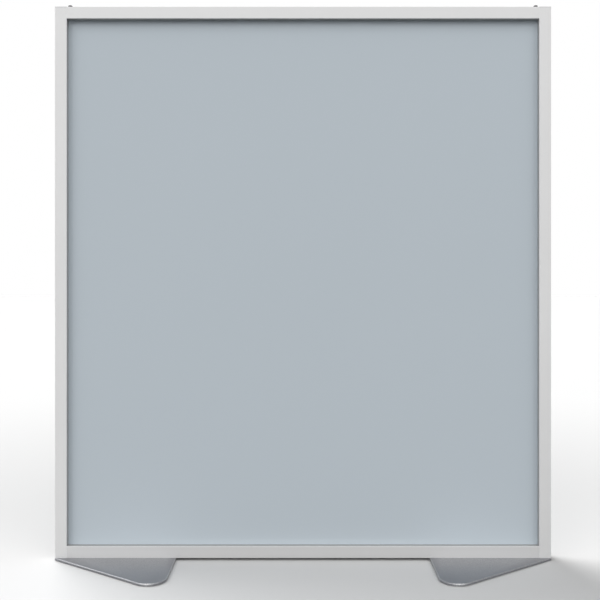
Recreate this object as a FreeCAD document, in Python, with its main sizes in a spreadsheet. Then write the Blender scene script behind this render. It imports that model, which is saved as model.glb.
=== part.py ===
import FreeCAD, Part
import math
import os

import Sketcher

# Free-standing exhibition partition wall.
# Frame of the part: origin on the floor under the middle of the wall, +X along the wall,
# -Y towards the front face, +Z up.  Millimetres.
#
# Four aluminium extrusions with one common section hold a board in their grooves.  The rails
# stand between the stiles and slip over spigots screwed to them.  Each top spigot is locked by
# a hand knob whose screw sits in a slot that is open to the rail's end, so that two turns of
# the knob let the rail go.  Two steel foot plates are bolted up through the bottom rail.

SIZES = {
    # Wall
    "wall_width": 1800,
    "frame_height": 2000,
    # Common frame section: the face is seen from the front, the depth is the wall's thickness
    "face_width": 43,
    "frame_depth": 60,
    "skin": 2,
    "groove_width": 14,
    "groove_depth": 14,
    "edge_radius": 1.2,
    # Infill board and the U-shaped gasket round its edge
    "board_thickness": 10,
    "gasket_floor": 2,
    "gasket_recess": 1,
    # Caps on the stiles' upper ends
    "cap_thickness": 2,
    "cap_plug_depth": 8,
    # Spigots between stile and rail
    "fit_gap": 0.3,
    "spigot_length": 80,
    "bolt_diameter": 8,
    "thread_gap": 0.1,
    "hole_diameter": 9,
    "corner_screw_inset": 19,
    "corner_screw_length": 45,
    "screw_head_diameter": 13,
    "screw_head_height": 8,
    "screw_socket": 6,
    "screw_bore_clearance": 1,
    "access_diameter": 14,
    "plug_barb_diameter": 12.6,
    "plug_barb_depth": 4,
    # Hand knobs
    "knob_inset": 5,
    "knob_diameter": 15,
    "knob_height": 11.4,
    "knob_crown": 11,
    "knob_collar": 1.8,
    "knob_crown_radius": 1.2,
    "knob_flute_depth": 0.7,
    "knob_flute_radius": 1.5,
    "stud_reach": 13.2,
    "stud_in_knob": 7,
    "stud_bore_depth": 11.7,
    "slot_width": 8.8,
    "washer_diameter": 16,
    "washer_bore": 8.8,
    "washer_thickness": 1.6,
    # Foot plates
    "plate_thickness": 8,
    "foot_length": 440,
    "foot_reach": 255,
    "foot_corner": 60,
    "foot_edge": 3,
    # Foot bolts, countersunk from below
    "bolt_row": 15,
    "outer_bolt_from_stile": 40,
    "inner_bolt_from_edge": 45,
    "foot_bolt_length": 25,
    "foot_bolt_socket": 5,
    "foot_bolt_socket_depth": 3,
    "countersink_diameter": 16,
    "bolt_bore_depth": 18,
    "nut_block_length": 50,
    # Floor pads
    "pad_thickness": 2,
    "pad_diameter": 40,
    "pad_end_inset": 32,
}

SIDES = {"left": -1, "right": 1}
KNOB_FLUTES = 18

FRAME_BASE = "(Sizes.pad_thickness + Sizes.plate_thickness)"
FRAME_TOP = f"({FRAME_BASE} + Sizes.frame_height)"
OPENING_HALF = "(Sizes.wall_width / 2 - Sizes.face_width)"
BOARD_EDGE = "(Sizes.groove_depth - Sizes.gasket_floor)"
CHAMBER_DEPTH = "(Sizes.face_width - Sizes.groove_depth - 2 * Sizes.skin)"
CHAMBER_WIDTH = "(Sizes.frame_depth - 2 * Sizes.skin)"
BORE = "(Sizes.bolt_diameter + Sizes.thread_gap)"
KNOB_X = f"({OPENING_HALF} - Sizes.knob_inset)"
SEAT = f"({FRAME_TOP} + Sizes.washer_thickness)"
GASKET_DEPTH = "(Sizes.groove_depth - Sizes.gasket_recess)"
GASKET_LEG = f"({GASKET_DEPTH} - Sizes.gasket_floor)"
BOARD_LOW = f"({FRAME_BASE} + Sizes.face_width - {BOARD_EDGE})"
BOARD_HEIGHT = f"(Sizes.frame_height - 2 * Sizes.face_width + 2 * {BOARD_EDGE})"

X_AXIS = FreeCAD.Vector(1, 0, 0)
Y_AXIS = FreeCAD.Vector(0, 1, 0)
Z_AXIS = FreeCAD.Vector(0, 0, 1)

doc = FreeCAD.newDocument("PartitionWall")
sheet = doc.addObject("Spreadsheet::Sheet", "Sizes")
for row, (alias, size) in enumerate(SIZES.items(), start=1):
    sheet.set(f"A{row}", alias)
    sheet.set(f"B{row}", str(size))
    sheet.setAlias(f"B{row}", alias)
doc.recompute()

nodes = {}


def value(expression):
    """The present value of an expression of the sheet's sizes."""
    return float(sheet.evalExpression(expression))


def bind(obj, **expressions):
    """Bind properties of an object to expressions; two underscores stand for a dot."""
    for name, expression in expressions.items():
        obj.setExpression(name.replace("__", "."), expression)
    return obj


def place(obj, x="0", y="0", z="0", rotation=None):
    """Turn an object and bind its place in the wall's frame."""
    if rotation:
        obj.Placement = FreeCAD.Placement(FreeCAD.Vector(), rotation)
    return bind(obj, Placement__Base__x=x, Placement__Base__y=y, Placement__Base__z=z)


def keep(name, obj):
    """Make an object one of the wall's sub-parts."""
    obj.Label = name
    nodes[name] = obj
    return obj


# ---- sketches and features ----------------------------------------------------------------

def new_body(name):
    """An empty body for features made in sketches."""
    return doc.addObject("PartDesign::Body", name + "_body")


def sketch_on(body, plane, name, offset=None):
    """A sketch on one of the body's origin planes, moved along its normal by offset."""
    support = [item for item in body.Origin.OriginFeatures if item.Role == plane][0]
    sketch = body.newObject("Sketcher::SketchObject", name)
    sketch.AttachmentSupport = [(support, "")]
    sketch.MapMode = "FlatFace"
    if offset:
        bind(sketch, AttachmentOffset__Base__z=offset)
    return sketch


def dimension(sketch, kind, target, name, expression):
    """A named dimension of a sketch, bound to an expression."""
    index = sketch.addConstraint(Sketcher.Constraint(kind, *target, value(expression)))
    sketch.renameConstraint(index, name)
    sketch.setExpression("Constraints." + name, expression)


def add_outline(sketch, name, corners):
    """A closed outline of straight edges through corners given as pairs of expressions."""
    points = [FreeCAD.Vector(value(x), value(y), 0) for x, y in corners]
    first = sketch.GeometryCount
    for start, end in zip(points, points[1:] + points[:1]):
        sketch.addGeometry(Part.LineSegment(start, end))
    for number, (x, y) in enumerate(corners):
        edge = first + number
        before = first + (number - 1) % len(corners)
        sketch.addConstraint(Sketcher.Constraint("Coincident", before, 2, edge, 1))
        dimension(sketch, "DistanceX", (-1, 1, edge, 1), f"{name}_x{number}", x)
        dimension(sketch, "DistanceY", (-1, 1, edge, 1), f"{name}_y{number}", y)


def add_rectangle(sketch, name, left, bottom, width, height):
    """A rectangle from its lower left corner."""
    right = f"{left} + {width}"
    top = f"{bottom} + {height}"
    add_outline(sketch, name, [(left, bottom), (right, bottom), (right, top), (left, top)])


def add_circle(sketch, name, x, y, diameter):
    """A circle about a centre."""
    centre = FreeCAD.Vector(value(x), value(y), 0)
    circle = sketch.addGeometry(Part.Circle(centre, Z_AXIS, value(diameter) / 2))
    dimension(sketch, "Diameter", (circle,), name + "_size", diameter)
    dimension(sketch, "DistanceX", (-1, 1, circle, 3), name + "_x", x)
    dimension(sketch, "DistanceY", (-1, 1, circle, 3), name + "_y", y)


def pad(body, sketch, length, backwards=False):
    """Extrude a sketch along its normal."""
    feature = body.newObject("PartDesign::Pad", sketch.Name + "_pad")
    feature.Profile = sketch
    feature.Reversed = backwards
    bind(feature, Length=length)
    doc.recompute()
    return feature


def pocket(body, sketch, depth, forwards=False):
    """Cut a sketch into the body against its normal, or along it when forwards is set."""
    before = body.Shape.Volume
    feature = body.newObject("PartDesign::Pocket", sketch.Name + "_pocket")
    feature.Profile = sketch
    feature.Reversed = forwards
    bind(feature, Length=depth)
    doc.recompute()
    if body.Shape.Volume > before - 1e-6:
        raise RuntimeError(f"{sketch.Name} cuts nothing")
    return feature


def fillet(body, edges, radius):
    """Round the named edges of the body's last feature."""
    tip = body.Tip
    feature = body.newObject("PartDesign::Fillet", body.Name + "_fillet")
    feature.Base = (tip, edges)
    bind(feature, Radius=radius)
    doc.recompute()
    return feature


def edges_where(shape, test):
    """The names of a shape's edges that pass a test."""
    return [f"Edge{number}" for number, edge in enumerate(shape.Edges, start=1) if test(edge)]


def along(edge, axis):
    """Whether a straight edge is parallel to an axis."""
    if not isinstance(edge.Curve, Part.Line):
        return False
    return abs(abs(edge.Curve.Direction.dot(axis)) - 1) < 1e-6


# ---- primitives and booleans --------------------------------------------------------------

def box(name, length, width, height, x="0", y="0", z="0"):
    """A box from its lowest corner."""
    shape = bind(doc.addObject("Part::Box", name), Length=length, Width=width, Height=height)
    return place(shape, x, y, z)


def cylinder(name, diameter, height, x="0", y="0", z="0", axis=Z_AXIS):
    """A cylinder that starts at a point and runs along an axis."""
    shape = doc.addObject("Part::Cylinder", name)
    bind(shape, Radius=f"{diameter} / 2", Height=height)
    return place(shape, x, y, z, FreeCAD.Rotation(Z_AXIS, axis))


def hexagon(name, across_flats, height, x="0", y="0", z="0", axis=Z_AXIS):
    """A hexagonal prism, used for driver sockets."""
    shape = doc.addObject("Part::Prism", name)
    shape.Polygon = 6
    bind(shape, Circumradius=f"{across_flats} / sqrt(3)", Height=height)
    return place(shape, x, y, z, FreeCAD.Rotation(Z_AXIS, axis))


def fuse(name, *shapes):
    """One solid from several that overlap."""
    joined = doc.addObject("Part::MultiFuse", name)
    joined.Shapes = list(shapes)
    return joined


def cut(name, base, tool):
    """What is left of a shape when a tool is taken out of it."""
    remaining = doc.addObject("Part::Cut", name)
    remaining.Base = base
    remaining.Tool = tool
    return remaining


def group(name, shapes):
    """Several separate solids in one sub-part."""
    compound = doc.addObject("Part::Compound", name + "_group")
    compound.Links = shapes
    return keep(name, compound)


# ---- frame extrusions ---------------------------------------------------------------------

def extrusion(name, length):
    """A length of the common section.

    Local x runs from the grooved inner side (0) to the outer side, local y through the wall's
    depth, and local z along the extrusion.
    """
    body = new_body(name)
    section = sketch_on(body, "XY_Plane", name + "_section")
    groove_low = "(Sizes.frame_depth - Sizes.groove_width) / 2"
    groove_high = "(Sizes.frame_depth + Sizes.groove_width) / 2"
    add_outline(section, "outer", [
        ("0", "0"), ("Sizes.face_width", "0"),
        ("Sizes.face_width", "Sizes.frame_depth"), ("0", "Sizes.frame_depth"),
        ("0", groove_high), ("Sizes.groove_depth", groove_high),
        ("Sizes.groove_depth", groove_low), ("0", groove_low)])
    add_rectangle(section, "chamber", "Sizes.groove_depth + Sizes.skin", "Sizes.skin",
                  CHAMBER_DEPTH, CHAMBER_WIDTH)
    side_depth = "(Sizes.groove_depth - Sizes.skin)"
    side_width = f"({groove_low} - 2 * Sizes.skin)"
    add_rectangle(section, "front", "Sizes.skin", "Sizes.skin", side_depth, side_width)
    add_rectangle(section, "back", "Sizes.skin", f"{groove_high} + Sizes.skin",
                  side_depth, side_width)
    pad(body, section, length)
    depth = value("Sizes.frame_depth")
    outer_corners = edges_where(body.Shape, lambda edge: along(edge, Z_AXIS) and
                                min(edge.BoundBox.YMin, depth - edge.BoundBox.YMin) < 1e-6)
    fillet(body, outer_corners, "Sizes.edge_radius")
    return body


def outer_wall_sketch(body, name):
    """A sketch on the extrusion's outer side; x runs through its depth, y along its length."""
    return sketch_on(body, "YZ_Plane", name, "Sizes.face_width")


def make_stile(side, direction):
    """An upright, with screw holes in its web and wider access holes in its outer wall."""
    name = side + "_stile"
    body = extrusion(name, "Sizes.frame_height - Sizes.cap_thickness")
    heights = ["Sizes.corner_screw_inset", "Sizes.frame_height - Sizes.corner_screw_inset"]
    web_holes = sketch_on(body, "YZ_Plane", name + "_web_holes")
    access_holes = outer_wall_sketch(body, name + "_access_holes")
    for end, height in zip(("lower", "upper"), heights):
        add_circle(web_holes, end, "Sizes.frame_depth / 2", height, "Sizes.hole_diameter")
        add_circle(access_holes, end, "Sizes.frame_depth / 2", height, "Sizes.access_diameter")
    pocket(body, web_holes, "Sizes.groove_depth + Sizes.skin", forwards=True)
    pocket(body, access_holes, "Sizes.skin")
    rotation = FreeCAD.Rotation(X_AXIS * direction, Y_AXIS * direction, Z_AXIS, "ZXY")
    place(body, f"{direction} * {OPENING_HALF}", f"-{direction} * Sizes.frame_depth / 2",
          FRAME_BASE, rotation)
    return keep(name, body)


def make_top_rail():
    """The top rail, with a slot in its upper wall at each end for the knob's screw."""
    length = f"(2 * {OPENING_HALF})"
    body = extrusion("top_rail", length)
    rounds = outer_wall_sketch(body, "top_rail_slot_rounds")
    mouths = outer_wall_sketch(body, "top_rail_slot_mouths")
    slot_side = "(Sizes.frame_depth - Sizes.slot_width) / 2"
    for end, centre, mouth in (("left", "Sizes.knob_inset", "0"),
                               ("right", f"{length} - Sizes.knob_inset",
                                f"{length} - Sizes.knob_inset")):
        add_circle(rounds, end, "Sizes.frame_depth / 2", centre, "Sizes.slot_width")
        add_rectangle(mouths, end, slot_side, mouth, "Sizes.slot_width", "Sizes.knob_inset")
    pocket(body, rounds, "Sizes.skin")
    pocket(body, mouths, "Sizes.skin")
    rotation = FreeCAD.Rotation(Z_AXIS, -Y_AXIS, X_AXIS, "ZXY")
    place(body, f"-{OPENING_HALF}", "Sizes.frame_depth / 2",
          f"{FRAME_TOP} - Sizes.face_width", rotation)
    return keep("top_rail", body)


def foot_bolt_stations(direction):
    """Places along the wall of a foot's two rows of bolts, the outer row first."""
    outer = f"{direction} * ({OPENING_HALF} - Sizes.outer_bolt_from_stile)"
    inner_distance = "(Sizes.foot_length - Sizes.inner_bolt_from_edge)"
    return [outer, f"{direction} * (Sizes.wall_width / 2 - {inner_distance})"]


def make_bottom_rail():
    """The bottom rail, with clearance holes for the foot bolts in its lower wall."""
    body = extrusion("bottom_rail", f"2 * {OPENING_HALF}")
    holes = outer_wall_sketch(body, "bottom_rail_bolt_holes")
    for side, direction in SIDES.items():
        for place_name, station in zip(("outer", "inner"), foot_bolt_stations(direction)):
            for row, sign in (("front", -1), ("back", 1)):
                add_circle(holes, f"{side}_{place_name}_{row}",
                           f"Sizes.frame_depth / 2 + {sign} * Sizes.bolt_row",
                           f"{station} + {OPENING_HALF}", "Sizes.hole_diameter")
    pocket(body, holes, "Sizes.skin")
    rotation = FreeCAD.Rotation(-Z_AXIS, Y_AXIS, X_AXIS, "ZXY")
    place(body, f"-{OPENING_HALF}", "-Sizes.frame_depth / 2",
          f"{FRAME_BASE} + Sizes.face_width", rotation)
    return keep("bottom_rail", body)


# ---- spigots, corner screws, plugs and caps -----------------------------------------------

def make_spigot(level, side, direction):
    """The block that joins a stile and a rail, with a tongue that keys in the stile's groove.

    Local x runs from the stile along the rail, local y through the depth, and local z from the
    rail's outer wall towards the board.
    """
    name = f"{level}_{side}_spigot"
    body = new_body(name)
    block = sketch_on(body, "XY_Plane", name + "_block")
    block_width = f"({CHAMBER_WIDTH} - 2 * Sizes.fit_gap)"
    block_height = f"({CHAMBER_DEPTH} - 2 * Sizes.fit_gap)"
    add_rectangle(block, "block", "0", f"-{block_width} / 2", "Sizes.spigot_length", block_width)
    pad(body, block, block_height)
    tongue = sketch_on(body, "XY_Plane", name + "_tongue")
    tongue_width = "(Sizes.groove_width - 2 * Sizes.fit_gap)"
    tongue_length = "(Sizes.groove_depth - Sizes.fit_gap)"
    add_rectangle(tongue, "tongue", f"-{tongue_length}", f"-{tongue_width} / 2",
                  tongue_length, tongue_width)
    pad(body, tongue, block_height)
    screw_bore = sketch_on(body, "YZ_Plane", name + "_screw_bore", f"-{tongue_length}")
    first_wall = "(Sizes.skin + Sizes.fit_gap)"
    add_circle(screw_bore, "bore", "0", f"Sizes.corner_screw_inset - {first_wall}", BORE)
    pocket(body, screw_bore, "Sizes.corner_screw_length + Sizes.screw_bore_clearance",
           forwards=True)
    cross_bores = sketch_on(body, "XY_Plane", name + "_cross_bores")
    if level == "top":
        add_circle(cross_bores, "knob", "Sizes.knob_inset", "0", BORE)
        pocket(body, cross_bores, "Sizes.stud_bore_depth", forwards=True)
        rotation = FreeCAD.Rotation(-X_AXIS * direction, Y_AXIS * direction, -Z_AXIS, "ZXY")
        level_z = f"{FRAME_TOP} - {first_wall}"
    else:
        for row, sign in (("front", -1), ("back", 1)):
            add_circle(cross_bores, row, "Sizes.outer_bolt_from_stile",
                       f"{sign} * Sizes.bolt_row", BORE)
        pocket(body, cross_bores, "Sizes.bolt_bore_depth", forwards=True)
        rotation = FreeCAD.Rotation(-X_AXIS * direction, -Y_AXIS * direction, Z_AXIS, "ZXY")
        level_z = f"{FRAME_BASE} + {first_wall}"
    place(body, f"{direction} * {OPENING_HALF}", "0", level_z, rotation)
    return keep(name, body)


def corner_screw_levels():
    """Heights of a stile's two corner screws."""
    return {"lower": f"{FRAME_BASE} + Sizes.corner_screw_inset",
            "upper": f"{FRAME_TOP} - Sizes.corner_screw_inset"}


def make_corner_screws(side, direction):
    """Socket head screws from inside the stile, through its web, into the spigots."""
    screws = []
    inward = -X_AXIS * direction
    seat = f"{direction} * ({OPENING_HALF} + Sizes.groove_depth + Sizes.skin)"
    crown = f"{seat} + {direction} * Sizes.screw_head_height"
    for end, level in corner_screw_levels().items():
        name = f"{side}_{end}_corner_screw"
        shank = cylinder(name + "_shank", "Sizes.bolt_diameter", "Sizes.corner_screw_length",
                         seat, "0", level, inward)
        head = cylinder(name + "_head", "Sizes.screw_head_diameter", "Sizes.screw_head_height",
                        crown, "0", level, inward)
        socket = hexagon(name + "_socket", "Sizes.screw_socket", "Sizes.screw_head_height / 2",
                         crown, "0", level, inward)
        screws.append(cut(name, fuse(name + "_solid", shank, head), socket))
    return group(side + "_corner_screws", screws)


def make_access_plugs(side, direction):
    """Push-in plugs that close the access holes flush with the stile's outer side."""
    plugs = []
    inward = -X_AXIS * direction
    outside = f"{direction} * Sizes.wall_width / 2"
    for end, level in corner_screw_levels().items():
        name = f"{side}_{end}_plug"
        disc = cylinder(name + "_disc", "(Sizes.access_diameter - Sizes.fit_gap)", "Sizes.skin",
                        outside, "0", level, inward)
        barb = cylinder(name + "_barb", "Sizes.plug_barb_diameter",
                        "Sizes.skin + Sizes.plug_barb_depth", outside, "0", level, inward)
        plugs.append(fuse(name, disc, barb))
    return group(side + "_access_plugs", plugs)


def make_stile_cap(side, direction):
    """A cap over a stile's upper end, with a plug down into the chamber."""
    name = side + "_stile_cap"
    body = new_body(name)
    cover = sketch_on(body, "XY_Plane", name + "_cover")
    add_rectangle(cover, "cover", "0", "-Sizes.frame_depth / 2",
                  "Sizes.face_width", "Sizes.frame_depth")
    pad(body, cover, "Sizes.cap_thickness")
    upright = edges_where(body.Shape, lambda edge: along(edge, Z_AXIS))
    fillet(body, upright, "Sizes.edge_radius")
    plug = sketch_on(body, "XY_Plane", name + "_plug")
    plug_width = f"({CHAMBER_WIDTH} - 2 * Sizes.fit_gap)"
    add_rectangle(plug, "plug", "Sizes.groove_depth + Sizes.skin + Sizes.fit_gap",
                  f"-{plug_width} / 2", f"({CHAMBER_DEPTH} - 2 * Sizes.fit_gap)", plug_width)
    pad(body, plug, "Sizes.cap_plug_depth", backwards=True)
    rotation = FreeCAD.Rotation(X_AXIS * direction, Y_AXIS * direction, Z_AXIS, "ZXY")
    place(body, f"{direction} * {OPENING_HALF}", "0", f"{FRAME_TOP} - Sizes.cap_thickness",
          rotation)
    return keep(name, body)


# ---- infill board and gaskets -------------------------------------------------------------

def make_board():
    """The infill board, whose edges stand in the gaskets all round."""
    body = new_body("infill_board")
    outline = sketch_on(body, "XZ_Plane", "infill_board_outline", "-Sizes.board_thickness / 2")
    half = f"({OPENING_HALF} + {BOARD_EDGE})"
    add_rectangle(outline, "board", f"-{half}", "0", f"2 * {half}", BOARD_HEIGHT)
    pad(body, outline, "Sizes.board_thickness")
    place(body, z=BOARD_LOW)
    return keep("infill_board", body)


def make_gasket(name, corner, size, slot_corner, slot_size):
    """A U-shaped gasket: a box less the slot for the board, each from its lowest corner."""
    channel = box(name + "_channel", *size, *corner)
    slot = box(name + "_slot", *slot_size, *slot_corner)
    return keep(name, cut(name + "_section", channel, slot))


def make_stile_gasket(side, direction):
    """The gasket in a stile's groove, as long as the board is high."""
    lips = f"{direction} * ({OPENING_HALF} + Sizes.gasket_recess)"
    near = min(direction, 0)
    return make_gasket(
        side + "_gasket",
        (f"{lips} + {near} * {GASKET_DEPTH}", "-Sizes.groove_width / 2", BOARD_LOW),
        (GASKET_DEPTH, "Sizes.groove_width", BOARD_HEIGHT),
        (f"{lips} + {near} * {GASKET_LEG}", "-Sizes.board_thickness / 2", BOARD_LOW),
        (GASKET_LEG, "Sizes.board_thickness", BOARD_HEIGHT))


def make_rail_gasket(level, direction):
    """The gasket in a rail's groove, as long as the rail."""
    lips = {1: f"{FRAME_TOP} - Sizes.face_width + Sizes.gasket_recess",
            -1: f"{FRAME_BASE} + Sizes.face_width - Sizes.gasket_recess"}[direction]
    near = min(direction, 0)
    length = f"(2 * {OPENING_HALF})"
    start = f"-{OPENING_HALF}"
    return make_gasket(
        level + "_gasket",
        (start, "-Sizes.groove_width / 2", f"{lips} + {near} * {GASKET_DEPTH}"),
        (length, "Sizes.groove_width", GASKET_DEPTH),
        (start, "-Sizes.board_thickness / 2", f"{lips} + {near} * {GASKET_LEG}"),
        (length, "Sizes.board_thickness", GASKET_LEG))


# ---- hand knobs ---------------------------------------------------------------------------

def make_knob(side, direction):
    """A fluted knob with a smooth collar and a crowned top, bored from below for its stud."""
    name = side + "_knob"
    body = new_body(name)
    profile = sketch_on(body, "XZ_Plane", name + "_profile")
    bore = f"{BORE} / 2"
    shoulder = "(Sizes.knob_height - (Sizes.knob_diameter - Sizes.knob_crown) / 2)"
    stud_end = "(Sizes.stud_in_knob + Sizes.thread_gap)"
    add_outline(profile, "half", [
        (bore, "0"), ("Sizes.knob_diameter / 2", "0"), ("Sizes.knob_diameter / 2", shoulder),
        ("Sizes.knob_crown / 2", "Sizes.knob_height"), ("0", "Sizes.knob_height"),
        ("0", stud_end), (bore, stud_end)])
    turned = body.newObject("PartDesign::Revolution", name + "_turned")
    turned.Profile = profile
    turned.ReferenceAxis = (profile, ["V_Axis"])
    turned.Angle = 360
    doc.recompute()
    shoulder_height = value(shoulder)
    crown_edges = edges_where(body.Shape, lambda edge: isinstance(edge.Curve, Part.Circle) and
                              edge.BoundBox.ZMin > shoulder_height - 1e-3)
    fillet(body, crown_edges, "Sizes.knob_crown_radius")
    flute = sketch_on(body, "XY_Plane", name + "_flute", "Sizes.knob_collar")
    add_circle(flute, "flute", "Sizes.knob_diameter / 2 + Sizes.knob_flute_radius"
               " - Sizes.knob_flute_depth", "0", "2 * Sizes.knob_flute_radius")
    first_flute = pocket(body, flute, "Sizes.knob_height", forwards=True)
    flutes = body.newObject("PartDesign::PolarPattern", name + "_flutes")
    flutes.Originals = [first_flute]
    flutes.Axis = ([item for item in body.Origin.OriginFeatures if item.Role == "Z_Axis"][0], [""])
    flutes.Angle = 360
    flutes.Occurrences = KNOB_FLUTES
    body.Tip = flutes
    doc.recompute()
    place(body, f"{direction} * {KNOB_X}", "0", SEAT)
    return keep(name, body)


def make_stud(side, direction):
    """The steel screw moulded in the knob."""
    stud = cylinder(side + "_stud_rod", "Sizes.bolt_diameter",
                    "Sizes.stud_reach + Sizes.washer_thickness + Sizes.stud_in_knob",
                    f"{direction} * {KNOB_X}", "0", f"{FRAME_TOP} - Sizes.stud_reach")
    return keep(side + "_stud", stud)


def make_washer(side, direction):
    """The washer that spans the slot under the knob."""
    name = side + "_washer"
    x = f"{direction} * {KNOB_X}"
    disc = cylinder(name + "_disc", "Sizes.washer_diameter", "Sizes.washer_thickness",
                    x, "0", FRAME_TOP)
    hole = cylinder(name + "_hole", "Sizes.washer_bore", "Sizes.washer_thickness",
                    x, "0", FRAME_TOP)
    return keep(name, cut(name + "_ring", disc, hole))


# ---- feet ---------------------------------------------------------------------------------

def add_foot_outline(sketch):
    """A foot's outline: x from its narrow outer end to its inner edge, y through the wall.

    The two slanting edges run from the wall's corners and meet the inner edge in large rounds.
    """
    length = value("Sizes.foot_length")
    radius = value("Sizes.foot_corner")
    half_end = value("Sizes.frame_depth / 2")
    centre_x = length - radius
    centre_y = half_end + value("Sizes.foot_reach") - radius
    lean = math.atan2(centre_y - half_end, centre_x)
    lean += math.asin(radius / math.hypot(centre_x, centre_y - half_end))
    touch_x = centre_x - radius * math.sin(lean)
    touch_y = centre_y + radius * math.cos(lean)

    def point(x, y):
        """A point of the sketch."""
        return FreeCAD.Vector(x, y, 0)

    def round_corner(y, start, end):
        """The arc of one of the two large rounds."""
        return Part.ArcOfCircle(Part.Circle(point(centre_x, y), Z_AXIS, radius), start, end)

    end = sketch.addGeometry(Part.LineSegment(point(0, half_end), point(0, -half_end)))
    front = sketch.addGeometry(Part.LineSegment(point(0, -half_end), point(touch_x, -touch_y)))
    front_round = sketch.addGeometry(round_corner(-centre_y, -math.pi / 2 - lean, 0))
    inner = sketch.addGeometry(Part.LineSegment(point(length, -centre_y),
                                                point(length, centre_y)))
    back_round = sketch.addGeometry(round_corner(centre_y, 0, math.pi / 2 + lean))
    back = sketch.addGeometry(Part.LineSegment(point(touch_x, touch_y), point(0, half_end)))
    sketch.addConstraint([
        Sketcher.Constraint("Coincident", end, 2, front, 1),
        Sketcher.Constraint("Tangent", front, 2, front_round, 1),
        Sketcher.Constraint("Tangent", front_round, 2, inner, 1),
        Sketcher.Constraint("Tangent", inner, 2, back_round, 1),
        Sketcher.Constraint("Tangent", back_round, 2, back, 1),
        Sketcher.Constraint("Coincident", back, 2, end, 1),
        Sketcher.Constraint("Vertical", inner)])
    half = "Sizes.frame_depth / 2"
    round_y = f"({half} + Sizes.foot_reach - Sizes.foot_corner)"
    for name, target, x, y in (("end_back", (end, 1), "0", half),
                               ("end_front", (end, 2), "0", f"-{half}"),
                               ("front", (front_round, 3), None, f"-{round_y}"),
                               ("back", (back_round, 3), None, round_y),
                               ("inner", (inner, 1), "Sizes.foot_length", None)):
        if x:
            dimension(sketch, "DistanceX", (-1, 1) + target, name + "_x", x)
        if y:
            dimension(sketch, "DistanceY", (-1, 1) + target, name + "_y", y)
    for name, corner in (("front", front_round), ("back", back_round)):
        dimension(sketch, "Radius", (corner,), name + "_radius", "Sizes.foot_corner")


def make_foot_plate(side, direction):
    """A steel plate, rounded along its upper edge and countersunk below for its bolts."""
    name = side + "_foot_plate"
    body = new_body(name)
    outline = sketch_on(body, "XY_Plane", name + "_outline")
    add_foot_outline(outline)
    pad(body, outline, "Sizes.plate_thickness")
    top = value("Sizes.plate_thickness")
    upper_edges = edges_where(body.Shape, lambda edge: edge.BoundBox.ZMin > top - 1e-3 and
                              edge.BoundBox.XMax > 1e-3)
    fillet(body, upper_edges, "Sizes.foot_edge")
    holes = sketch_on(body, "XY_Plane", name + "_holes")
    for place_name, station in (("outer", "Sizes.face_width + Sizes.outer_bolt_from_stile"),
                                ("inner", "Sizes.foot_length - Sizes.inner_bolt_from_edge")):
        for row, sign in (("front", -1), ("back", 1)):
            add_circle(holes, f"{place_name}_{row}", station, f"{sign} * Sizes.bolt_row",
                       "Sizes.hole_diameter")
    doc.recompute()
    drilled = body.newObject("PartDesign::Hole", name + "_countersunk")
    drilled.Profile = holes
    drilled.Reversed = True
    drilled.DepthType = "ThroughAll"
    drilled.HoleCutType = "Countersink"
    drilled.HoleCutCountersinkAngle = 90
    drilled.HoleCutCustomValues = True
    bind(drilled, Diameter="Sizes.hole_diameter",
         HoleCutDiameter="Sizes.countersink_diameter + Sizes.fit_gap")
    doc.recompute()
    rotation = FreeCAD.Rotation(-X_AXIS * direction, -Y_AXIS * direction, Z_AXIS, "ZXY")
    place(body, f"{direction} * Sizes.wall_width / 2", "0", "Sizes.pad_thickness", rotation)
    return keep(name, body)


def make_foot_bolts(side, direction):
    """Countersunk bolts up through the plate and the rail into the spigot and nut block."""
    bolts = []
    cone_height = "(Sizes.countersink_diameter - Sizes.bolt_diameter) / 2"
    for place_name, station in zip(("outer", "inner"), foot_bolt_stations(direction)):
        for row, sign in (("front", -1), ("back", 1)):
            name = f"{side}_{place_name}_{row}_bolt"
            spot = (station, f"{sign} * Sizes.bolt_row", "Sizes.pad_thickness")
            shank = cylinder(name + "_shank", "Sizes.bolt_diameter", "Sizes.foot_bolt_length",
                             *spot)
            head = doc.addObject("Part::Cone", name + "_head")
            bind(head, Radius1="Sizes.countersink_diameter / 2",
                 Radius2="Sizes.bolt_diameter / 2", Height=cone_height)
            place(head, *spot)
            socket = hexagon(name + "_socket", "Sizes.foot_bolt_socket",
                             "Sizes.foot_bolt_socket_depth", *spot)
            bolts.append(cut(name, fuse(name + "_solid", shank, head), socket))
    return group(side + "_foot_bolts", bolts)


def make_nut_block(side, direction):
    """A threaded block inside the bottom rail over the foot's inner bolts."""
    name = side + "_nut_block"
    body = new_body(name)
    base = sketch_on(body, "XY_Plane", name + "_base")
    width = f"({CHAMBER_WIDTH} - 2 * Sizes.fit_gap)"
    add_rectangle(base, "base", "-Sizes.nut_block_length / 2", f"-{width} / 2",
                  "Sizes.nut_block_length", width)
    for row, sign in (("front", -1), ("back", 1)):
        add_circle(base, row, "0", f"{sign} * Sizes.bolt_row", BORE)
    pad(body, base, f"{CHAMBER_DEPTH} - 2 * Sizes.fit_gap")
    place(body, foot_bolt_stations(direction)[1], "0",
          f"{FRAME_BASE} + Sizes.skin + Sizes.fit_gap")
    return keep(name, body)


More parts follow.
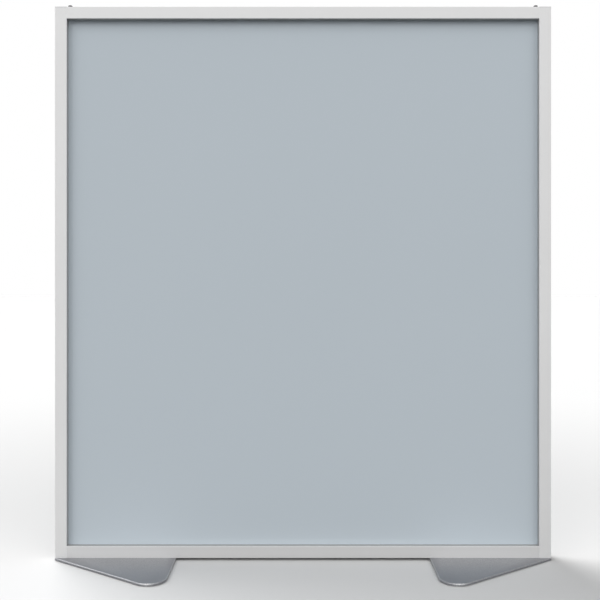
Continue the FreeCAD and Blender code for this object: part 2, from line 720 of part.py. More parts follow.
def make_floor_pads(side, direction):
    """Thin rubber pads under the foot: at its two ends and at its two tips."""
    end_x = "(Sizes.wall_width / 2 - Sizes.pad_end_inset)"
    inner_x = "(Sizes.wall_width / 2 - Sizes.foot_length + Sizes.pad_end_inset)"
    tip_x = "(Sizes.wall_width / 2 - Sizes.foot_length + Sizes.foot_corner)"
    tip_y = "(Sizes.frame_depth / 2 + Sizes.foot_reach - Sizes.foot_corner)"
    pads = []
    for place_name, x, y in (("outer", end_x, "0"), ("inner", inner_x, "0"),
                             ("front", tip_x, f"-{tip_y}"), ("back", tip_x, tip_y)):
        pads.append(cylinder(f"{side}_{place_name}_pad", "Sizes.pad_diameter",
                             "Sizes.pad_thickness", f"{direction} * {x}", y))
    return group(side + "_floor_pads", pads)


# ---- assembly -----------------------------------------------------------------------------

make_top_rail()
make_bottom_rail()
make_board()
make_rail_gasket("top", 1)
make_rail_gasket("bottom", -1)
for side, direction in SIDES.items():
    make_stile(side, direction)
    make_stile_cap(side, direction)
    make_stile_gasket(side, direction)
    make_spigot("top", side, direction)
    make_spigot("bottom", side, direction)
    make_corner_screws(side, direction)
    make_access_plugs(side, direction)
    make_knob(side, direction)
    make_stud(side, direction)
    make_washer(side, direction)
    make_foot_plate(side, direction)
    make_foot_bolts(side, direction)
    make_nut_block(side, direction)
    make_floor_pads(side, direction)

doc.recompute()
for obj in doc.Objects:
    if {"Invalid", "Error"} & set(obj.State):
        raise RuntimeError(f"{obj.Label} failed: {obj.State}")

os.makedirs("parts", exist_ok=True)
for name, obj in nodes.items():
    shape = obj.Shape
    if shape.isNull() or not shape.isValid() or not shape.Solids:
        raise RuntimeError(f"{name} has no valid solid")
    shape.exportStep(f"parts/{name}.step")
    print(f"{name}: {len(shape.Solids)} solid(s), {shape.Volume:.0f} mm3")
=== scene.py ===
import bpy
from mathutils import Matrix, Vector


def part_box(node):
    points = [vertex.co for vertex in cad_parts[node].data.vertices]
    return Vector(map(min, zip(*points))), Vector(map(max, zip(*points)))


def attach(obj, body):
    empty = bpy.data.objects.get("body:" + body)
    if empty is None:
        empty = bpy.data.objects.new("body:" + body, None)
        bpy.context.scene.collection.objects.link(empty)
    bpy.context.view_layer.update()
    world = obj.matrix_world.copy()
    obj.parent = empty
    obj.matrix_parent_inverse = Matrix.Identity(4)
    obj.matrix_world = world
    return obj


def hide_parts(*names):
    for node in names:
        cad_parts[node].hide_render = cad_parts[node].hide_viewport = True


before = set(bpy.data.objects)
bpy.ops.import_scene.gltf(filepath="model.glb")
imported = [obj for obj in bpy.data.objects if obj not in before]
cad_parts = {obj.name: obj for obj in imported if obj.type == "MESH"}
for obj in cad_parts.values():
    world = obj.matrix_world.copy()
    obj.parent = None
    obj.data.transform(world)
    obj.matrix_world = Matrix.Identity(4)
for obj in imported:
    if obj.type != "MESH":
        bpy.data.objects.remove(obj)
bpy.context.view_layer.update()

import functools
import logging
import math
from collections.abc import Callable, Sequence
from dataclasses import dataclass, field
from enum import Enum

import bmesh
import bpy
from mathutils import Matrix, Vector

# Looks of a free-standing exhibition partition wall.  Metres throughout; +X runs along the
# wall, -Y faces the front, +Z is up, and the origin is on the floor under the wall's middle.

LOG = logging.getLogger("partition_wall")
MM = 0.001
X_AXIS, Y_AXIS, Z_AXIS = Vector((1, 0, 0)), Vector((0, 1, 0)), Vector((0, 0, 1))
WEAR_AND_HIGHLIGHT_LAYER = "edge_wear_and_highlight"
GUARD = 0.8 * MM
STRAIGHT = 1e-4
SMOOTH_BELOW = math.radians(32)
BODY = "frame"
FACING = 0.9
BUMP_HEIGHT = 0.05 * MM
COAT_ROUGHNESS = 0.12
DRILL_SIDES = 40
ROUND_STEPS = 4
WHITE = (1.0, 1.0, 1.0, 1.0)
SATIN_GREY = (0.80, 0.80, 0.80)
DUST_COLOR = (0.62, 0.60, 0.57, 1.0)
DUST_ROUGHNESS = 0.9

Color = tuple[float, float, float]
Socket = bpy.types.NodeSocket
Inputs = bpy.types.bpy_prop_collection
EdgeRule = Callable[[Vector, Vector], bool]


class Place(Enum):
    """A place on the wall; the value is the sign of its axis there."""

    @property
    def word(self) -> str:
        """The place's name as the frame's nodes spell it."""
        return self.name.lower()


class Side(Place):
    """An end of the wall, along X."""

    LEFT = -1
    RIGHT = 1

    @property
    def outward(self) -> Vector:
        """The direction from the wall's middle to this end."""
        return X_AXIS * self.value


class Level(Place):
    """The lower or the upper rail, along Z."""

    BOTTOM = -1
    TOP = 1


class Grain(Enum):
    """The way a finish's fine pattern runs: how tightly it is packed along X, Y and Z."""

    EVEN = (1.0, 1.0, 1.0)
    ALONG_X = (0.012, 1.0, 1.0)
    ALONG_Z = (1.0, 1.0, 0.012)


# ---- node groups shared by the finishes

class Canvas:
    """Adds nodes to a node tree and wires them."""

    def __init__(self, tree: bpy.types.NodeTree) -> None:
        """Take a material's or a group's tree to draw on."""
        self.tree = tree

    @classmethod
    def cleared(cls, owner: bpy.types.Material | bpy.types.World) -> "Canvas":
        """A canvas on the emptied node tree of a material or of the world."""
        owner.use_nodes = True
        owner.node_tree.nodes.clear()
        return cls(owner.node_tree)

    def add(self, kind: str, inputs: dict | None = None, **settings: object) -> bpy.types.Node:
        """Add one node.

        Args:
            kind: The node's type, without the ShaderNode prefix.
            inputs: Input names or numbers with a value or an output socket for each.
            settings: Properties of the node itself.

        Returns:
            The new node.
        """
        node = self.tree.nodes.new("ShaderNode" + kind)
        for name, setting in settings.items():
            setattr(node, name, setting)
        for key, given in (inputs or {}).items():
            if isinstance(given, Socket):
                self.tree.links.new(given, node.inputs[key])
            else:
                node.inputs[key].default_value = given
        return node

    def math(self, operation: str, first: object, second: object) -> Socket:
        """The result of a sum on two numbers or sockets."""
        return self.add("Math", {0: first, 1: second}, operation=operation).outputs[0]

    def blend(self, share: object, first: object, second: object) -> Socket:
        """A colour between two: the first where the share is 0, the second where it is 1."""
        return self.add("Mix", {0: share, 6: first, 7: second}, data_type="RGBA").outputs[2]

    def spread(self, share: object, low: object, high: object) -> Socket:
        """A number between two: the low one where the share is 0, the high where it is 1."""
        return self.add("MapRange", {0: share, 3: low, 4: high}).outputs[0]

    def share(self, value: object, low: object, high: object, curve: str = "LINEAR") -> Socket:
        """How far a number stands between two others, from 0 to 1."""
        return self.add("MapRange", {0: value, 1: low, 2: high},
                        interpolation_type=curve).outputs[0]

    def product(self, *factors: object) -> Socket:
        """Numbers or sockets multiplied together."""
        return functools.reduce(lambda first, second: self.math("MULTIPLY", first, second),
                                factors)

    def by_ray(self, kind: str, usual: Socket, other: Socket, output: str) -> None:
        """End the tree in two shaders: the other one is for one kind of light ray."""
        ray = self.add("LightPath").outputs[kind]
        both = self.add("MixShader", {0: ray, 1: usual, 2: other}).outputs[0]
        self.add(output, {"Surface": both})

    def noise(self, place: Socket, scale: Socket, detail: float, rough: float = 0.5) -> Socket:
        """Noise over the surface, around 0.5."""
        return self.add("TexNoise", {"Vector": place, "Scale": scale, "Detail": detail,
                                     "Roughness": rough}).outputs[0]


class SharedPattern:
    """A node group that several finishes place, each with its own values."""

    title: str = ""
    numbers: dict[str, float] = {}
    output: str = "Mask"

    @classmethod
    def tree(cls) -> bpy.types.NodeTree:
        """The group, made the first time it is asked for."""
        made = bpy.data.node_groups.get(cls.title)
        if made:
            return made
        tree = bpy.data.node_groups.new(cls.title, "ShaderNodeTree")
        tree.interface.new_socket("Stretch", in_out="INPUT", socket_type="NodeSocketVector")
        for name, start in cls.numbers.items():
            socket = tree.interface.new_socket(name, in_out="INPUT",
                                               socket_type="NodeSocketFloat")
            socket.default_value = start
        tree.interface.new_socket(cls.output, in_out="OUTPUT", socket_type="NodeSocketFloat")
        canvas = Canvas(tree)
        inputs = tree.nodes.new("NodeGroupInput").outputs
        place = canvas.add("TexCoord").outputs["Object"]
        stretched = canvas.add("VectorMath", {0: place, 1: inputs["Stretch"]},
                               operation="MULTIPLY").outputs[0]
        answer = cls.draw(canvas, inputs, stretched)
        tree.links.new(answer, tree.nodes.new("NodeGroupOutput").inputs[cls.output])
        return tree

    @staticmethod
    def draw(canvas: Canvas, inputs: Inputs, place: Socket) -> Socket:
        """Draw the group's own nodes on a stretched place and return the answer's socket."""
        raise NotImplementedError

    @classmethod
    def put(cls, canvas: Canvas, grain: Grain, **values: float) -> Socket:
        """Place the group in a material with its grain and values; its output socket."""
        given = {name.capitalize(): value for name, value in values.items()}
        node = canvas.add("Group", {"Stretch": grain.value, **given}, node_tree=cls.tree())
        return node.outputs[cls.output]


class FineGrain(SharedPattern):
    """Fine lines or specks over the whole surface, from 0 to 1."""

    title = "fine_grain"
    numbers = {"Scale": 900.0, "Contrast": 0.25}
    output = "Grain"

    @staticmethod
    def draw(canvas: Canvas, inputs: Inputs, place: Socket) -> Socket:
        """Noise at the grain's scale, sharpened."""
        noise = canvas.noise(place, inputs["Scale"], 3.0, 0.6)
        low = canvas.math("SUBTRACT", 0.5, inputs["Contrast"])
        return canvas.share(noise, low, canvas.math("ADD", 0.5, inputs["Contrast"]))


class Mottle(SharedPattern):
    """Slow drifts of tone, a hand's width or more across, from 0 to 1."""

    title = "slow_mottle"
    numbers = {"Scale": 4.0}

    @staticmethod
    def draw(canvas: Canvas, inputs: Inputs, place: Socket) -> Socket:
        """Soft noise over a wide range."""
        return canvas.share(canvas.noise(place, inputs["Scale"], 2.0, 0.45), 0.3, 0.7,
                            "SMOOTHSTEP")


class EdgeWear(SharedPattern):
    """Bright corners, from 0 to 1: handling wear on the knob and the washer, a painted highlight
    on the aluminium and the foot.
    """

    title = "edge_wear_and_highlight"
    numbers = {"Scale": 220.0, "Amount": 0.6}

    @staticmethod
    def draw(canvas: Canvas, inputs: Inputs, place: Socket) -> Socket:
        """The mesh's corner mask, broken up."""
        corner = canvas.add("Attribute", attribute_name=WEAR_AND_HIGHLIGHT_LAYER).outputs["Fac"]
        broken = canvas.share(canvas.noise(place, inputs["Scale"], 3.0), 0.38, 0.62)
        return canvas.product(corner, canvas.spread(broken, 0.45, 1.0), inputs["Amount"])


class SettledDust(SharedPattern):
    """A thin veil of dust on whatever faces up, from 0 to 1."""

    title = "settled_dust"
    numbers = {"Scale": 30.0, "Amount": 0.1}

    @staticmethod
    def draw(canvas: Canvas, inputs: Inputs, place: Socket) -> Socket:
        """How far a face looks up, broken up."""
        facing = canvas.add("NewGeometry").outputs["Normal"]
        up = canvas.add("SeparateXYZ", {0: facing}).outputs["Z"]
        patchy = canvas.share(canvas.noise(place, inputs["Scale"], 5.0, 0.65), 0.35, 0.7)
        return canvas.product(canvas.share(up, 0.75, 0.98), patchy, inputs["Amount"])


# ---- finishes

@dataclass(frozen=True)
class Finish:
    """A surface finish: its colours, its gloss and its fine pattern."""

    name: str
    color: Color
    drift: float = 0.03
    drift_scale: float = 3.0
    roughness: float = 0.5
    roughness_drift: float = 0.05
    metallic: float = 0.0
    specular: float = 0.5
    coat: float = 0.0
    grain: Grain = Grain.EVEN
    grain_scale: float = 900.0
    grain_tint: float = 0.02
    bump: float = 0.1
    wear_color: Color = (0.9, 0.9, 0.91)
    wear: float = 0.0
    dust: float = 0.0

    def shade(self, factor: float) -> tuple[float, float, float, float]:
        """The finish's colour, lighter or darker by a factor."""
        return (*[min(channel * factor, 1.0) for channel in self.color], 1.0)

    def material(self) -> bpy.types.Material:
        """The finish as a material, made the first time it is asked for."""
        made = bpy.data.materials.get(self.name)
        if made:
            return made
        made = bpy.data.materials.new(self.name)
        canvas = Canvas.cleared(made)
        lines = FineGrain.put(canvas, self.grain, scale=self.grain_scale)
        clouds = Mottle.put(canvas, Grain.EVEN, scale=self.drift_scale)
        color = canvas.blend(clouds, self.shade(1 - self.drift), self.shade(1 + self.drift))
        tinted = canvas.blend(lines, self.shade(1 - self.grain_tint),
                              self.shade(1 + self.grain_tint))
        color = canvas.blend(0.5, color, tinted)
        rough = canvas.spread(lines, self.roughness - self.roughness_drift,
                              self.roughness + self.roughness_drift)
        # Edge colour: real wear on the knob and the washer, a painted highlight on the anodised
        # aluminium and the foot.
        if self.wear:
            worn_and_highlit = EdgeWear.put(canvas, Grain.EVEN, amount=self.wear)
            color = canvas.blend(worn_and_highlit, color, (*self.wear_color, 1.0))
        if self.dust:
            dusty = SettledDust.put(canvas, Grain.EVEN, amount=self.dust)
            color = canvas.blend(dusty, color, DUST_COLOR)
            rough = canvas.spread(dusty, rough, DUST_ROUGHNESS)
        relief = canvas.add("Bump", {"Height": lines, "Strength": self.bump,
                                     "Distance": BUMP_HEIGHT}).outputs[0]
        shader = canvas.add("BsdfPrincipled", {
            "Base Color": color, "Roughness": rough, "Normal": relief,
            "Metallic": self.metallic, "Specular IOR Level": self.specular,
            "Coat Weight": self.coat, "Coat Roughness": COAT_ROUGHNESS})
        canvas.add("OutputMaterial", {"Surface": shader.outputs[0]})
        return made


def anodised(name: str, grain: Grain, tone: float = 1.0) -> Finish:
    """Satin natural anodised aluminium, drawn along its grain, with a painted highlight on its
    edges; a tone below 1 gives a darker copy that paints shade.
    """
    return Finish(name, tuple(channel * tone for channel in SATIN_GREY), drift=0.012,
                  roughness=0.60, metallic=0.35, grain=grain, grain_scale=1400.0,
                  grain_tint=0.025, bump=0.12, wear=0.5, dust=0.08)


class Finishes:
    """Every finish of the wall."""

    STILE = anodised("anodised_upright", Grain.ALONG_Z)
    RAIL = anodised("anodised_rail", Grain.ALONG_X)
    # Painted shade: the lower rail is a darker copy of the rail's anodising.
    LOWER_RAIL = anodised("anodised_lower_rail_painted_shade", Grain.ALONG_X, tone=0.92)
    # Painted shade: a darker copy of the anodising for the faces that look onto the board.
    REVEAL = anodised("anodised_reveal_painted_shade", Grain.EVEN, tone=0.55)
    CAP = Finish("moulded_silver_grey", (0.60, 0.60, 0.61), grain_scale=2200.0, bump=0.2,
                 dust=0.1)
    LAMINATE = Finish("blue_grey_laminate", (0.60, 0.67, 0.725), drift=0.006, drift_scale=1.5,
                      roughness=0.62, roughness_drift=0.04, specular=0.3,
                      grain_scale=1300.0, bump=0.12)
    CORE = Finish("fibreboard_core", (0.36, 0.25, 0.15), drift=0.1, drift_scale=60.0,
                  roughness=0.9, grain=Grain.ALONG_X, grain_scale=1500.0, grain_tint=0.25,
                  bump=0.5, specular=0.2)
    GASKET = Finish("gasket_rubber", (0.020, 0.020, 0.022), drift=0.15, roughness=0.72,
                    grain_scale=1800.0, grain_tint=0.2, bump=0.2, specular=0.3)
    KNOB = Finish("moulded_black", (0.022, 0.022, 0.024), drift=0.1, roughness=0.42,
                  roughness_drift=0.08, grain_scale=3000.0, grain_tint=0.15, bump=0.25,
                  wear_color=(0.11, 0.11, 0.115), wear=0.6, dust=0.06)
    STUD = Finish("zinc_plate", (0.66, 0.67, 0.70), drift=0.06, drift_scale=90.0,
                  roughness=0.30, roughness_drift=0.08, metallic=1.0, grain_scale=1600.0,
                  grain_tint=0.08)
    WASHER = Finish("black_oxide", (0.045, 0.045, 0.05), drift=0.2, drift_scale=120.0,
                    roughness=0.38, roughness_drift=0.1, metallic=0.9, grain_scale=1500.0,
                    grain_tint=0.2, wear_color=(0.32, 0.32, 0.34), wear=0.5)
    PLUG = Finish("moulded_grey", (0.19, 0.195, 0.20), drift=0.05, grain_scale=2400.0,
                  grain_tint=0.08, bump=0.2)
    BLOCK = Finish("mill_aluminium", (0.70, 0.70, 0.71), drift=0.05, drift_scale=25.0,
                   roughness=0.38, roughness_drift=0.1, metallic=1.0, grain=Grain.ALONG_X,
                   grain_scale=700.0, grain_tint=0.08)
    # Painted highlight: the foot's white edge colour stands in for light caught by its rounded
    # edges, brightest at the tips.
    FOOT = Finish("lacquered_steel", (0.238, 0.243, 0.264), drift_scale=9.0,
                  roughness=0.38, roughness_drift=0.04, metallic=0.6, coat=0.15,
                  grain=Grain.ALONG_X, grain_scale=1100.0, grain_tint=0.06, bump=0.15,
                  wear_color=(1.0, 1.0, 1.0), wear=1.0, dust=0.05)
    PAD = Finish("pad_rubber", (0.03, 0.03, 0.03), drift=0.2, roughness=0.8,
                 grain_scale=1200.0, grain_tint=0.2, bump=0.4, specular=0.3)


# ---- mesh making

def fan(start: float, sweep: float, steps: int) -> list[float]:
    """Evenly spaced angles over a sweep, with both its ends."""
    return [start + sweep * step / steps for step in range(steps + 1)]


@dataclass
class Outline:
    """A closed, counter-clockwise outline, and how much edge wear and painted highlight each
    point of it carries.
    """

    points: list[Vector]
    wear: list[float]

    @classmethod
    def polygon(cls, corners: Sequence[tuple[float, float]],
                radii: Sequence[float]) -> "Outline":
        """An outline with rounded corners.

        Args:
            corners: The corners before rounding, counter-clockwise.
            radii: A radius for each corner, above 0.

        Returns:
            The outline, with a point close on either side of each round.
        """
        points, wear = [], []
        spots = [Vector(corner) for corner in corners]
        for number, spot in enumerate(spots):
            before, after = spots[number - 1] - spot, spots[(number + 1) % len(spots)] - spot
            first, second = before.normalized(), after.normalized()
            half = first.angle(second) / 2
            reach = radii[number] / math.tan(half)
            centre = spot + (first + second).normalized() * radii[number] / math.sin(half)
            start = spot + first * reach - centre
            convex = first.cross(second) < 0
            sweep = (math.pi - 2 * half) * (1 if convex else -1)
            guards = [min(reach + GUARD, edge.length * 0.45) for edge in (before, after)]
            arc = [centre + Vector((start.x * math.cos(turn) - start.y * math.sin(turn),
                                    start.x * math.sin(turn) + start.y * math.cos(turn)))
                   for turn in fan(0.0, sweep, ROUND_STEPS)]
            near, far = ([spot + way * guard] if guard > reach + GUARD / 10 else []
                         for way, guard in zip((first, second), guards))
            points += near + arc + far
            wear += [0.0] * len(near) + [float(convex)] * len(arc) + [0.0] * len(far)
        return cls(points, wear)

    @classmethod
    def rectangle(cls, low: tuple[float, float], high: tuple[float, float],
                  radius: float) -> "Outline":
        """A rounded rectangle, from its lower left to its upper right corner."""
        corners = [low, (high[0], low[1]), high, (low[0], high[1])]
        return cls.polygon(corners, [radius] * len(corners))

    @classmethod
    def unworn(cls, points: list[Vector]) -> "Outline":
        """An outline of which nothing is exposed."""
        return cls(points, [0.0] * len(points))

    @classmethod
    def circle(cls, centre: tuple[float, float], radius: float, steps: int = 32) -> "Outline":
        """A circle."""
        return cls.unworn([Vector((centre[0] + radius * math.cos(turn),
                                   centre[1] + radius * math.sin(turn)))
                           for turn in fan(0.0, 2 * math.pi, steps)[:-1]])

    def inset(self, distance: float, held: EdgeRule | None = None) -> list[Vector]:
        """The outline's points, with its edges drawn inwards.

        Args:
            distance: How far each edge moves; below 0 it moves outwards.
            held: Says of an edge's two ends whether that edge stays where it is.

        Returns:
            The moved points.
        """
        moved = []
        count = len(self.points)
        for number, spot in enumerate(self.points):
            before, after = self.points[number - 1], self.points[(number + 1) % count]
            normals, shifts = [], []
            for start, end in ((before, spot), (spot, after)):
                edge = (end - start).normalized()
                normals.append(Vector((-edge.y, edge.x)))
                shifts.append(0.0 if held and held(start, end) else distance)
            skew = normals[0].cross(normals[1])
            if abs(skew) < STRAIGHT:
                step = normals[0] * shifts[0]
            else:
                step = Vector(((shifts[0] * normals[1].y - shifts[1] * normals[0].y) / skew,
                               (shifts[1] * normals[0].x - shifts[0] * normals[1].x) / skew))
            moved.append(spot + step)
        return moved


@dataclass
class Station:
    """A level of a solid: how far its outline draws in and its holes open up there."""

    height: float
    inset: float = 0.0
    opening: float = 0.0
    wear: float = 0.0


def mirrored(half: Sequence[Station], length: float) -> list[Station]:
    """The stations of a solid's far half, after those of its near half."""
    return [Station(length - station.height, station.inset, wear=station.wear)
            for station in reversed(half)]


def plain_ends(length: float, chamfer: float) -> list[Station]:
    """Stations for a solid of one section whose two ends are broken by a small chamfer."""
    near = [Station(0.0, chamfer, wear=1.0), Station(chamfer, wear=1.0),
            Station(chamfer + GUARD)]
    return near + mirrored(near, length)


def round_top(height: float, radius: float, steps: int) -> list[Station]:
    """Stations that round a solid's upper edge, up to its top."""
    return [Station(height - radius * (1 - math.sin(turn)), radius * (1 - math.cos(turn)),
                    wear=1.0) for turn in fan(0.0, math.pi / 2, steps)]


def axes(origin: Sequence[float], x: Vector, y: Vector, z: Vector) -> Matrix:
    """A placement: where a solid stands and the directions of its own x, y and z."""
    return Matrix.Translation(origin) @ Matrix((x, y, z)).transposed().to_4x4()


def run_of(node: str, across: Vector, along: Vector) -> tuple[Matrix, Vector]:
    """How a length of one section fills the box of its node.

    Args:
        node: The node.
        across: The direction of the section's x.
        along: The direction in which the length runs.

    Returns:
        The placement of the section's corner, and the width, depth and length.
    """
    low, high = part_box(node)
    size = high - low
    start = low if sum(across) > 0 else high
    corner = (start.x if across.x else low.x, low.y, start.z if across.z else low.z)
    return (axes(corner, across, Y_AXIS, along),
            Vector((abs(size.dot(across)), size.y, abs(size.dot(along)))))


def axle_of(node: str) -> tuple[Matrix, float, float]:
    """A round node's placement, by the middle of its foot, with its radius and height."""
    low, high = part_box(node)
    return (Matrix.Translation(((low.x + high.x) / 2, 0, low.z)), (high.y - low.y) / 2,
            high.z - low.z)


def linked(name: str, data: bpy.types.ID) -> bpy.types.Object:
    """A new object in the scene, made of the given data."""
    made = bpy.data.objects.new(name, data)
    bpy.context.scene.collection.objects.link(made)
    return made


@dataclass
class Solid:
    """A closed mesh in the making."""

    mesh: bmesh.types.BMesh = field(default_factory=bmesh.new)

    def wear_layer(self) -> bmesh.types.BMLayerItem:
        """The layer that says how exposed each vertex is, made when first asked for."""
        layers = self.mesh.verts.layers.float
        return layers.get(WEAR_AND_HIGHLIGHT_LAYER) or layers.new(WEAR_AND_HIGHLIGHT_LAYER)

    def ring(self, points: Sequence[Vector], wear: Sequence[float]) -> list[bmesh.types.BMVert]:
        """Add a loop of vertices.

        Args:
            points: Their places.
            wear: How exposed each is.

        Returns:
            The vertices.
        """
        layer = self.wear_layer()
        made = [self.mesh.verts.new(point) for point in points]
        for vert, exposed in zip(made, wear):
            vert[layer] = exposed
        return made

    def skin(self, rings: Sequence[Sequence[bmesh.types.BMVert]]) -> None:
        """Join each ring to the next with four-sided faces.

        Args:
            rings: Rings of the same number of vertices.
        """
        for low, high in zip(rings, rings[1:]):
            for number in range(len(low)):
                after = (number + 1) % len(low)
                self.mesh.faces.new((low[number], low[after], high[after], high[number]))

    def extruded(self, outer: Outline, holes: Sequence[Outline], stations: Sequence[Station],
                 held: EdgeRule | None = None) -> "Solid":
        """Add a solid of one section.

        Args:
            outer: Its outline.
            holes: Outlines of the holes that run through it.
            stations: Its levels from end to end.
            held: Says which of the outline's edges don't draw in.

        Returns:
            This solid.
        """
        ends: list[bmesh.types.BMEdge] = []
        for is_hole, outline in enumerate([outer, *holes]):
            rings, last = [], None
            for station in stations:
                level = (station.height, station.opening)
                if is_hole and level == last:
                    continue
                last = level
                points = (outline.inset(-station.opening) if is_hole
                          else outline.inset(station.inset, held))
                rings.append(self.ring([point.to_3d() + Z_AXIS * station.height
                                        for point in points],
                                       [max(exposed, station.wear) for exposed in outline.wear]))
            self.skin(rings)
            for ring in (rings[0], rings[-1]):
                ends += [self.mesh.edges.get((vert, ring[number - 1]))
                         for number, vert in enumerate(ring)]
        lower = [edge for edge in ends
                 if edge.verts[0].co.z < (stations[0].height + stations[-1].height) / 2]
        upper = [edge for edge in ends if edge not in set(lower)]
        for edges in (lower, upper):
            bmesh.ops.triangle_fill(self.mesh, use_beauty=True, edges=edges)
        return self

    def turned(self, profile: Sequence[tuple[float, float]], steps: int,
               radius_at: Callable[[float, float, float], float] | None = None,
               worn_and_highlit: Sequence[int] = ()) -> "Solid":
        """Add a solid turned about local z.

        Args:
            profile: Pairs of radius and height from one end of the axis to the other, or
                round a ring, where the first pair is also the last.
            steps: How many faces go round it.
            radius_at: Changes a radius by its angle and height, for flutes or a thread.
            worn_and_highlit: Numbers of the profile's points that are exposed to wear.

        Returns:
            This solid.
        """
        closed = profile[0] == profile[-1]
        turns = fan(0.0, 2 * math.pi, steps)[:-1]
        rings = []
        for number, (radius, height) in enumerate(profile[:-1] if closed else profile):
            exposed = float(number in worn_and_highlit)
            if radius == 0.0:
                rings.append(self.ring([Vector((0, 0, height))], [exposed]))
                continue
            reach = [radius_at(radius, turn, height) if radius_at else radius
                     for turn in turns]
            rings.append(self.ring([Vector((far * math.cos(turn), far * math.sin(turn), height))
                                    for far, turn in zip(reach, turns)], [exposed] * steps))
        if closed:
            rings.append(rings[0])
        for low, high in zip(rings, rings[1:]):
            if len(low) > 1 and len(high) > 1:
                self.skin([low, high])
                continue
            tip, rim = (low[0], high) if len(low) == 1 else (high[0], low)
            for number, vert in enumerate(rim):
                self.mesh.faces.new((tip, vert, rim[number - 1]))
        return self

    def placed(self, where: Matrix) -> "Solid":
        """Move the whole mesh to a placement and return this solid."""
        self.mesh.transform(where)
        return self

    @classmethod
    def copies(cls, profile: Sequence[tuple[float, float]], steps: int,
               places: Sequence[Matrix]) -> "Solid":
        """Several equal turned solids in one mesh.

        Args:
            profile: The profile that they share.
            steps: How many faces go round each.
            places: A placement for each.

        Returns:
            The solid that holds them all.
        """
        group = cls()
        group.wear_layer()
        for where in places:
            passing = bpy.data.meshes.new("passing")
            single = cls().turned(profile, steps).placed(where)
            single.mesh.to_mesh(passing)
            single.mesh.free()
            group.mesh.from_mesh(passing)
            bpy.data.meshes.remove(passing)
        return group

    def object(self, name: str) -> bpy.types.Object:
        """Turn the mesh into an object of this name in the scene and return the object."""
        bmesh.ops.recalc_face_normals(self.mesh, faces=self.mesh.faces)
        if self.mesh.calc_volume(signed=True) < 0:
            bmesh.ops.reverse_faces(self.mesh, faces=self.mesh.faces)
        data = bpy.data.meshes.new(name)
        self.mesh.to_mesh(data)
        self.mesh.free()
        return linked(name, data)


def drill(where: Sequence[float], direction: Vector, radius: float, depth: float) -> Solid:
    """A round cutter that starts at a point and runs in a direction."""
    across = Y_AXIS if abs(direction.y) < 0.5 else Z_AXIS
    profile = [(0.0, 0.0), (radius, 0.0), (radius, depth), (0.0, depth)]
    return Solid().turned(profile, DRILL_SIDES).placed(
        axes(where, direction.cross(across), across, direction))


def combined(base: bpy.types.Object, tools: Sequence[Solid], operation: str) -> None:
    """Cut solids out of an object or join them to it, for good.

    Args:
        base: The object.
        tools: The solids; they are used up.
        operation: DIFFERENCE to cut, UNION to join.
    """
    helpers = [tool.object(f"{base.name}_tool_{number}") for number, tool in enumerate(tools)]
    for helper in helpers:
        step = base.modifiers.new(helper.name, "BOOLEAN")
        step.object, step.operation, step.solver = helper, operation, "EXACT"
    bpy.context.view_layer.update()
    seen = base.evaluated_get(bpy.context.evaluated_depsgraph_get())
    shaped = bpy.data.meshes.new_from_object(seen)
    base.modifiers.clear()
    base.data = shaped
    for helper in helpers:
        bpy.data.objects.remove(helper)


def dressed(piece: bpy.types.Object, finish: Finish, body: str, slot: str,
            *nodes: str) -> None:
    """Finish a new piece and let it stand for the nodes that it was made after.

    Args:
        piece: The piece.
        finish: Its finish.
        body: The body that it rides on.
        slot: The record's material slot; not used.
        nodes: The nodes that it replaces.
    """
    piece.data.materials.clear()
    piece.data.materials.append(finish.material())
    piece.data.polygons.foreach_set("use_smooth", [True] * len(piece.data.polygons))
    piece.data.set_sharp_from_angle(angle=SMOOTH_BELOW)
    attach(piece, body)
    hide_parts(*nodes)
    LOG.info("%s: %d faces, rides on %s", piece.name, len(piece.data.polygons), body)


def finish_node(name: str, finish: Finish) -> None:
    """Give a node of the frame its finish and leave its shape alone.

    Args:
        name: The node.
        finish: Its finish.
    """
    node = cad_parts[name]
    if not node.material_slots:
        node.data.materials.append(None)
    for slot in node.material_slots:
        slot.link = "OBJECT"
        slot.material = finish.material()
    LOG.info("%s: kept from the frame, finished as %s", name, finish.name)


# ---- the wall's sub-assemblies

